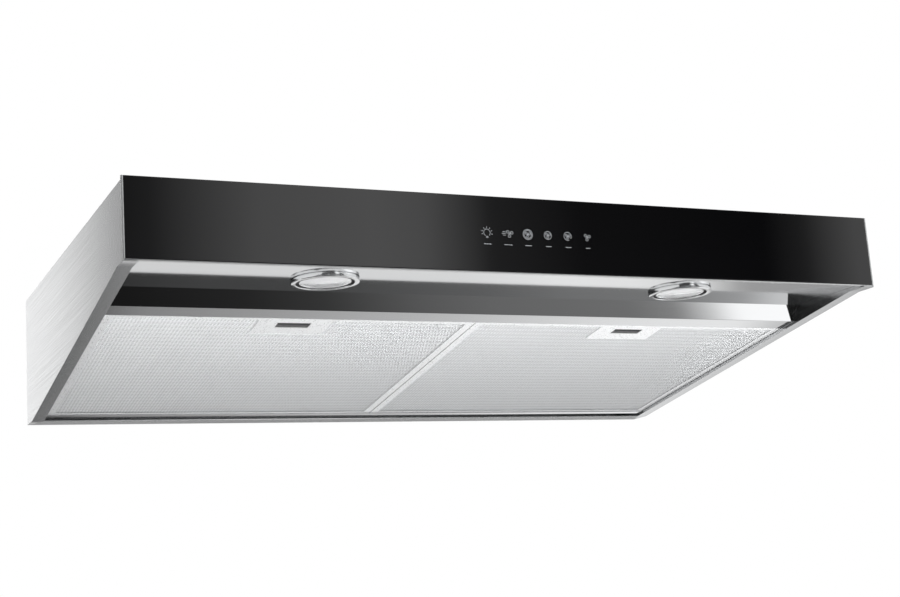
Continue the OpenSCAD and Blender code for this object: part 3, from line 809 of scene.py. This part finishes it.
class HOOD_OT_glass(bpy.types.Operator):
    """Makes the glass front with its ground edges, the printed signs and a dash under each"""

    bl_idname = "hood.glass"
    bl_label = "Glass front"

    def execute(self, context):
        low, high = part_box("glass_fascia")
        proud = sizes().print_height
        low.y += proud
        glass = box_piece(low, high)
        bevel(glass, sizes().glass_arris, 3)
        body = body_of("glass_fascia")
        complete(glass, "glass_front", body, "black_glass", ["glass_fascia"], 30, True)

        pads_low, pads_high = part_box("touch_pads")
        z = (pads_low.z + pads_high.z) / 2
        radius = (pads_high.z - pads_low.z) / 2
        first, last = pads_low.x + radius, pads_high.x - radius
        face = low.y - proud / 2
        for i, (name, (draw, run)) in enumerate(SIGNS.items()):
            centre = (first + (last - first) * i / (len(SIGNS) - 1), z)
            strips = draw(centre, sizes().print_line, face)
            level, half = z - sizes().dash_drop, run * MM / 2
            dash = (centre[0] - half, level), (centre[0] + half, level)
            strips += stroke(dash, sizes().print_line * 1.2, face)
            sign = join(name, strips)
            modify(sign, "SOLIDIFY", thickness=proud, offset=0)
            complete(sign, name, body, "screen_print")
        return {"FINISHED"}


# ---- lamps ----

BEZEL_FACE = 6.0 * MM
BEZEL_WALL = 0.4 * MM
TUBE_RISE = 6 * MM
PANEL_GAP = 0.05 * MM


class HOOD_OT_lamps(bpy.types.Operator):
    """Turns the bezels, black rings and lenses, and presses the faceted reflectors"""

    bl_idname = "hood.lamps"
    bl_label = "Lamps"

    def execute(self, context):
        low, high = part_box("left_lamp_bezel")
        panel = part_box("lamp_panel")[0].z
        centre = Vector(((low.x + high.x) / 2, (low.y + high.y) / 2, panel))
        outer, depth = (high.x - low.x) / 2, panel - low.z
        apart = Vector((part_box("right_lamp_bezel")[0].x - low.x, 0, 0))
        # a node, its new piece, that piece's finish and the angle under which it is smooth
        for node, name, piece, finish, smooth in (
            ("lamp_bezel", "lamp_bezel_turned", self.bezel(centre, outer, depth), "chrome_plate", 40),
            ("lamp_lens", "lamp_lens_pressed", self.lens(centre, depth), "lamp_glass", 60),
            ("lamp_reflector", "lamp_reflector_faceted", self.reflector(centre), "mirror_coating", 1),
            ("lamp_bulb", "lamp_bulb_blown", self.bulb(centre), "frosted_bulb", 40),
            # a black ring that no part of the model has, laid between bezel and lens
            ("lamp_bezel", "lamp_black_ring", self.black_ring(centre, outer, depth), "foam_rubber", 30),
        ):
            twin = copy_of(piece)
            twin.location = apart
            bake_place(twin)
            for side, item in zip(SIDES, (piece, twin)):
                stands_for = () if name == "lamp_black_ring" else [f"{side}_{node}"]
                body = body_of(f"{side}_{node}")
                complete(item, f"{side}_{name}", body, finish, stands_for, smooth)
        for side in SIDES:
            soften(side + "_lamp_can", "zinc_coat", sizes().edge_radius)
        return {"FINISHED"}

    def bezel(self, centre, outer, depth):
        """A flat chrome ring with a step to the panel, a rounded rim and a tube up into the hole."""
        bore, foot, lip = outer - BEZEL_FACE, outer - 1.4 * MM, 0.7 * MM
        neck, rim, inner_rim = bore + BEZEL_WALL, 1.0 * MM, 0.6 * MM
        profile = [(neck, TUBE_RISE), (neck, -PANEL_GAP), (foot, -PANEL_GAP)]
        profile += [(foot, -lip), (outer, -lip - 0.2 * MM)]
        profile += arc((outer - rim, -depth + rim), rim, 0, -90, 6)
        profile += arc((bore + inner_rim, -depth + inner_rim), inner_rim, -90, -180, 4)
        profile += [(bore, TUBE_RISE), profile[0]]
        return lathe(profile, 96, centre)

    def black_ring(self, centre, outer, depth):
        """A black ring 2.9 mm wide between the bezel and the lens, with a bevelled lower edge; no part of
        the model stands there, and it takes the foam's black finish.
        """
        bore, rise, corner = outer - BEZEL_FACE - 0.1 * MM, TUBE_RISE - 1 * MM, 0.6 * MM
        inner = bore - 2.9 * MM
        profile = [(bore, rise), (bore, -depth + 1.6 * MM), (bore - corner, -depth + 1.2 * MM)]
        profile += [(inner, -depth + 1.8 * MM), (inner, rise), profile[0]]
        return lathe(profile, 72, centre)

    def lens(self, centre, depth):
        """A bulging disc with pressed rings on its lower face."""
        low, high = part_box("left_lamp_lens")
        radius = (high.x - low.x) / 2 - 0.7 * MM
        crown, rings, ring_height = sizes().lens_crown, 7, 0.35 * MM
        bottom, top = -depth + 1.4 * MM, high.z - centre.z
        profile = [(0, top), (radius, top), (radius, bottom)]
        for i in range(rings):
            for share, lift in ((0.15, 0), (0.85, ring_height)):
                r = radius * (1 - (i + share) / (rings + 1))
                profile.append((r, bottom - crown * (1 - (r / radius) ** 2) + lift))
        profile.append((0, bottom - crown))
        return lathe(profile, 72, centre)

    def reflector(self, centre):
        """A dish on a parabola, pressed into flat facets."""
        low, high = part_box("left_lamp_reflector")
        rim, tall = (high.x - low.x) / 2, high.z - low.z
        foot = low.z - centre.z
        throat, tiers = 11 * MM, 6
        profile = []
        for k in range(tiers + 1):
            share = k / tiers
            profile.append((throat + (rim - throat) * math.sqrt(1 - share), foot + tall * share))
        dish = lathe(profile, sizes().facets, centre)
        modify(dish, "SOLIDIFY", thickness=0.6 * MM, offset=-1)
        return dish

    def bulb(self, centre):
        """A quartz capsule with a round end and a narrower base."""
        low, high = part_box("left_lamp_bulb")
        r = (high.x - low.x) / 2
        base, top = low.z - centre.z, high.z - centre.z
        profile = [(0, base)] + arc((0, base + r), r * 0.8, -80, 0, 8)
        profile += [(r * 0.8, base + 2.2 * r), (r * 0.55, base + 2.6 * r), (r * 0.55, top)]
        profile.append((0, top))
        return lathe(profile, 32, centre)


# ---- filters ----


def slope_angle():
    joint = next(j for j in frame["joints"] if j["type"] == "slide")
    return math.atan2(-joint["axis"][2], joint["axis"][1])


def filter_size(side):
    """Width, length and thickness of a filter, and the matrix from its own frame to the hood's."""
    low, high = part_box(side + "_filter_frame")
    a = slope_angle()
    drop, run = high.z - low.z, high.y - low.y
    # the box of a turned slab: run = l cos a + t sin a, and drop = l sin a + t cos a
    long = (run * math.cos(a) - drop * math.sin(a)) / math.cos(2 * a)
    thick = (drop - long * math.sin(a)) / math.cos(a)
    corner = Vector(((low.x + high.x) / 2, low.y, high.z - thick * math.cos(a)))
    return high.x - low.x, long, thick, Matrix.Translation(corner) @ Matrix.Rotation(-a, 4, "X")


def place_on(piece, matrix):
    piece.matrix_world = matrix @ piece.matrix_world
    bake_place(piece)


FRAME_WALL = 0.8 * MM
MESH_CLEAR = 0.25 * MM


def mesh_layer(width, long, height, cell, strand, shift, hole):
    """Expanded mesh: a grid turned to diamonds, cut to size and given strands."""
    cells = math.ceil(max(width / cell[0], long / cell[1])) + 3
    select_only()
    bpy.ops.mesh.primitive_grid_add(
        x_subdivisions=2 * cells, y_subdivisions=2 * cells, size=2 * cells * math.sqrt(0.5)
    )
    layer = bpy.context.active_object
    layer.rotation_euler.z = math.radians(45)
    bake_place(layer)
    layer.scale = (cell[0], cell[1], 1)
    layer.location = (shift * cell[0], long / 2 + shift * cell[1], height)
    bake_place(layer)
    x, y0 = width / 2, MESH_CLEAR + FRAME_WALL
    for point, normal in (
        ((-x, 0, 0), (-1, 0, 0)), ((x, 0, 0), (1, 0, 0)),
        ((0, y0, 0), (0, -1, 0)), ((0, long - y0, 0), (0, 1, 0)),
    ):
        pick(layer, verts=everything)
        bpy.ops.mesh.bisect(plane_co=point, plane_no=normal, clear_outer=True, threshold=1e-6)
        leave_edit()
    half, deep = hole

    def near_hole(face):
        return any(abs(v.co.x) < half and v.co.y < deep for v in face.verts)

    for point, normal in (
        ((-half, 0, 0), (1, 0, 0)), ((half, 0, 0), (1, 0, 0)), ((0, deep, 0), (0, 1, 0)),
    ):
        pick(layer, faces=near_hole)
        bpy.ops.mesh.bisect(plane_co=point, plane_no=normal, threshold=1e-6)
        leave_edit()
    pick(layer, faces=lambda f: abs(middle(f).x) < half and middle(f).y < deep)
    bpy.ops.mesh.delete(type="FACE")
    leave_edit()
    modify(layer, "WIREFRAME", thickness=strand, use_even_offset=False, offset=0)
    # the strands along the outline are open on their outer side
    pick(layer, edges=lambda e: e.is_boundary)
    bpy.ops.mesh.bridge_edge_loops()
    leave_edit()
    tidy_mesh(layer)
    return layer


class HOOD_OT_filters(bpy.types.Operator):
    """Rounds the edges of the filter frames and fills them with layers of expanded mesh"""

    bl_idname = "hood.filters"
    bl_label = "Grease filters"

    def execute(self, context):
        cell, strand = (sizes().cell_short, sizes().cell_long), sizes().strand
        width, long, thick, _ = filter_size("left")
        inside = width - 2 * (FRAME_WALL + MESH_CLEAR)
        plate_low, plate_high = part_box("left_latch_plate")
        hole = (
            (plate_high.x - plate_low.x) / 2 + MESH_CLEAR,
            (plate_high.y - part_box("left_filter_frame")[0].y) / math.cos(slope_angle()),
        )
        lowest = FRAME_WALL + MESH_CLEAR + strand / 2
        # the upper layer is coarser and lies a quarter of a cell aside
        for name, height, coarseness, shift in (
            ("lower_mesh", lowest, 1, 0.0), ("upper_mesh", thick - lowest, 1.5, 0.25),
        ):
            size = cell[0] * coarseness, cell[1] * coarseness
            layer = mesh_layer(inside, long, height, size, strand, shift, hole)
            for side, piece in zip(SIDES, (layer, copy_of(layer))):
                place_on(piece, filter_size(side)[3])
                complete(piece, f"{side}_{name}", body_of(side + "_mesh_pack"), "mesh_aluminium")
        for side in SIDES:
            soften(side + "_filter_frame", "frame_aluminium", 0.3 * MM)
            core = soft_copy(side + "_mesh_pack", 0.2 * MM)
            self.shrink(core, filter_size(side)[3], thick, strand)
            body = body_of(side + "_mesh_pack")
            complete(core, side + "_foil_core", body, "foil_core", [side + "_mesh_pack"])
        return {"FINISHED"}

    def shrink(self, core, matrix, thick, strand):
        """Makes room for the mesh layers below and above the foil core."""
        away = matrix.inverted()
        up = (matrix.to_3x3() @ Vector((0, 0, 1))).normalized()
        middle = thick / 2
        for sign in (-1, 1):
            pick(core, verts=lambda v: (away @ v.co).z * sign > middle * sign)
            bpy.ops.transform.translate(value=-sign * up * (strand + 0.1 * MM))
            leave_edit()


# ---- latches ----


class HOOD_OT_latches(bpy.types.Operator):
    """Rounds and paints the latch plates, their sliders and springs"""

    bl_idname = "hood.latches"
    bl_label = "Filter latches"

    def execute(self, context):
        for side in SIDES:
            soften(side + "_latch_plate", "frame_aluminium", 0.25 * MM)
            soften(side + "_latch_slider", "slider_painted_shade", 0.2 * MM)
            self.spring(side)
        return {"FINISHED"}

    def spring(self, side):
        """A rounded copy of the spring that rides on its body, with a mesh of its own."""
        node, joint = side + "_latch_spring", side + "_latch_slide"
        piece = soft_copy(node, 0.05 * MM, 1)
        complete(piece, node + "_wound", body_of(node), "drawn_steel", [node])
        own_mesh(piece)


def paint(node, finish):
    """Gives a CAD node that stays its finish."""
    piece = frame["nodes"][node]
    piece.data.materials.clear()
    piece.data.materials.append(finish_of(finish))


# ---- blower, wiring and duct ----

INNER_PARTS = {
    "left_scroll": "black_abs", "right_scroll": "black_abs",
    "left_inlet_ring": "zinc_coat", "right_inlet_ring": "zinc_coat",
    "motor_housing": "zinc_coat", "motor_bracket": "zinc_coat",
    "junction_box": "zinc_coat", "junction_cover": "zinc_coat", "rear_cover_plate": "zinc_coat",
    "terminal_block": "ivory_nylon", "board_carrier": "black_abs",
    "capacitor": "ivory_nylon", "duct_collar": "zinc_coat", "damper_flap": "frame_aluminium",
    "body_rivets": "zinc_coat", "bracket_rivets": "zinc_coat",
    "left_impeller": "black_abs", "right_impeller": "black_abs",
}
PAINTED_PARTS = {
    "motor_stator": "enamelled_copper", "motor_bearings": "drawn_steel",
    "fan_shaft": "drawn_steel", "rotor_core": "zinc_coat", "damper_rod": "drawn_steel",
    "touch_board": "circuit_board", "control_board": "circuit_board",
    "touch_pads": "enamelled_copper", "fascia_tape": "foam_rubber", "wire_harness": "cable_sheath",
}


class HOOD_OT_inner_parts(bpy.types.Operator):
    """Rounds and paints the blower, the wiring and the duct parts"""

    bl_idname = "hood.inner_parts"
    bl_label = "Blower, wiring and duct"

    def execute(self, context):
        for node, finish in INNER_PARTS.items():
            soften(node, finish, sizes().edge_radius)
        for node, finish in PAINTED_PARTS.items():
            paint(node, finish)
        return {"FINISHED"}


# ---- stage ----


def card(name, low, high, turn, stops):
    """A card seen only in reflections, whose brightness changes along X at the given stops."""
    low, high = Vector(low), Vector(high)
    select_only()
    bpy.ops.mesh.primitive_plane_add(size=1, location=(low + high) / 2, rotation=turn)
    piece = bpy.context.active_object
    size = high - low
    piece.scale = (size.x, max(size.y, size.z), 1)
    bake_place(piece)
    piece.name = name
    material = bpy.data.materials.new(name)
    material.use_nodes = True
    material.node_tree.nodes.clear()
    coords = add_node(material, "ShaderNodeTexCoord")
    across = add_node(material, "ShaderNodeSeparateXYZ", {"Vector": coords.outputs["UV"]})
    ramp = add_node(material, "ShaderNodeValToRGB", {"Fac": across.outputs["X"]})
    elements = ramp.color_ramp.elements
    while len(elements) < len(stops):
        elements.new(1)
    for element, (x, value) in zip(elements, stops):
        element.position = (x - low.x) / size.x
        element.color = (value, value, value, 1)
    glow = add_node(material, "ShaderNodeEmission", {"Color": ramp.outputs["Color"]})
    add_node(material, "ShaderNodeOutputMaterial", {"Surface": glow.outputs["Emission"]})
    piece.data.materials.append(material)
    piece.visible_camera = False
    piece.visible_diffuse = False
    piece.visible_shadow = False
    return piece


UPRIGHT = (math.pi / 2, 0, 0)
FLAT = (0, 0, 0)
FLOOR = -1.3
CARD_FLOOR = FLOOR + 0.02
REAR_WALL = 4
FRONT_WALL = -5


def lamp(name, place, aim, size, power):
    """A soft area light that lights matt surfaces and doesn't show in polished ones."""
    select_only()
    bpy.ops.object.light_add(type="AREA", location=place)
    light = bpy.context.active_object
    light.name = name
    light.rotation_euler = (Vector(aim) - Vector(place)).to_track_quat("-Z", "Y").to_euler()
    light.data.shape = "RECTANGLE"
    light.data.size, light.data.size_y = size
    light.data.energy = power
    light.data.spread = math.radians(100)
    light.visible_glossy = False
    light.visible_camera = False
    return light


class HOOD_OT_stage(bpy.types.Operator):
    """Lays the floor, sets the studio light and places the camera"""

    bl_idname = "hood.stage"
    bl_label = "Stage"

    def execute(self, context):
        scene = context.scene
        scene.view_settings.view_transform = "Standard"
        self.world(scene)
        self.floor()
        # each card's stops are metres along X and brightness
        card(
            "left_rear_card", (-9, REAR_WALL, 0.2), (12, REAR_WALL, 5), UPRIGHT,
            [(-9, 0.0), (-1.32, 0.0), (-1.26, 2.6), (-1.18, 2.3), (-1.08, 1.2), (-0.7, 0.9), (12, 0.9)],
        )
        card(
            "middle_rear_card", (-9, REAR_WALL, -0.93), (12, REAR_WALL, 0.2), UPRIGHT,
            [(-9, 0.22), (0.3, 0.22), (1.0, 0.13), (3.2, 0.08), (12, 0.1)],
        )
        card(
            "low_rear_card", (-9, REAR_WALL, FLOOR + 0.01), (12, REAR_WALL, -0.93), UPRIGHT,
            [(-9, 0.5), (0.0, 0.75), (0.6, 0.8), (2.0, 0.85), (2.5, 0.97), (2.9, 0.95),
             (3.3, 0.75), (3.5, 0.38), (12, 0.3)],
        )
        card(
            "front_card", (-3, FRONT_WALL, FLOOR + 0.01), (9, FRONT_WALL, 5), UPRIGHT,
            [(0.5, 0.08), (0.76, 0.25), (1.0, 0.8), (1.25, 1.35), (1.8, 1.6), (2.05, 1.4),
             (2.4, 0.25), (2.9, 0.06), (4.0, 0.02), (4.25, 0.2), (4.6, 1.1), (9, 1.1)],
        )
        card(
            "near_floor_card", (-3, -3, CARD_FLOOR), (5, -0.65, CARD_FLOOR), FLAT,
            [(-0.1, 0.012), (0.17, 0.025), (0.35, 0.05), (0.56, 0.127), (0.75, 0.175),
             (1.12, 0.21), (1.25, 0.3), (1.35, 0.8), (1.42, 1.35), (5, 1.6)],
        )
        card(
            "under_floor_card", (-3, -0.65, CARD_FLOOR), (5, 0.6, CARD_FLOOR), FLAT,
            [(-0.2, 0.05), (0.0, 0.09), (0.25, 0.1), (0.6, 0.19), (0.8, 0.27), (1.05, 0.3),
             (1.25, 0.55), (1.35, 0.95), (5, 1.2)],
        )
        card(
            "far_floor_card", (-3, 1.2, CARD_FLOOR), (6, 3.4, CARD_FLOOR), FLAT,
            [(-2, 0.1), (0.0, 0.14), (0.15, 0.3), (0.5, 0.42), (1.0, 0.62), (1.6, 0.95),
             (2.05, 1.05), (2.25, 0.6), (3, 0.4)],
        )
        lamp("low_front_light", (0.08, -0.47, -0.34), (0.07, -0.1, -0.1), (1.3, 0.2), 2.1)
        self.camera(scene)
        return {"FINISHED"}

    def world(self, scene):
        world = bpy.data.worlds.new("white_studio")
        world.use_nodes = True
        world.node_tree.nodes["Background"].inputs["Color"].default_value = (1, 1, 1, 1)
        world.node_tree.nodes["Background"].inputs["Strength"].default_value = 1.0
        scene.world = world

    def floor(self):
        select_only()
        bpy.ops.mesh.primitive_plane_add(size=8, location=(0, 0, FLOOR))
        piece = bpy.context.active_object
        piece.name = "floor"
        material, shader = new_material("matt_board", hex_colour("#e7e7e7"), roughness=0.9)
        piece.data.materials.append(material)

    def camera(self, scene):
        bpy.ops.object.camera_add(
            location=(-0.7756, -1.6585, -0.4289),
            rotation=[math.radians(x) for x in (101.2858, 3.6579, -23.4576)],
        )
        camera = bpy.context.active_object
        camera.name = "studio_camera"
        camera.data.sensor_width = 36
        camera.data.lens = 59.47
        camera.data.shift_x = 0.0424
        camera.data.shift_y = 0.0168
        scene.camera = camera


# ---- the panel and the run ----

OPERATORS = (
    HOOD_OT_canopy, HOOD_OT_glass, HOOD_OT_lamps, HOOD_OT_filters, HOOD_OT_latches,
    HOOD_OT_inner_parts, HOOD_OT_stage,
)


class HOOD_PT_panel(bpy.types.Panel):
    """Lists the steps that build the hood"""

    bl_idname = "HOOD_PT_panel"
    bl_label = "Range Hood"
    bl_space_type = "VIEW_3D"
    bl_region_type = "UI"
    bl_category = "Range Hood"

    def draw(self, context):
        for group in (context.scene.hood_sizes, context.scene.hood_colours):
            for name in group.bl_rna.properties.keys():
                if name not in ("rna_type", "name"):
                    self.layout.prop(group, name)
        for operator in OPERATORS:
            self.layout.operator(operator.bl_idname)


CLASSES = (HoodSizes, HoodColours, *OPERATORS, HOOD_PT_panel)


def register():
    for item in CLASSES:
        bpy.utils.register_class(item)
    bpy.types.Scene.hood_sizes = bpy.props.PointerProperty(type=HoodSizes)
    bpy.types.Scene.hood_colours = bpy.props.PointerProperty(type=HoodColours)


def unregister():
    del bpy.types.Scene.hood_sizes
    del bpy.types.Scene.hood_colours
    for item in reversed(CLASSES):
        bpy.utils.unregister_class(item)


def main():
    register()
    bpy.ops.hood.canopy()
    bpy.ops.hood.glass()
    bpy.ops.hood.lamps()
    bpy.ops.hood.filters()
    bpy.ops.hood.latches()
    bpy.ops.hood.inner_parts()
    bpy.ops.hood.stage()


if __name__ == "__main__":
    main()
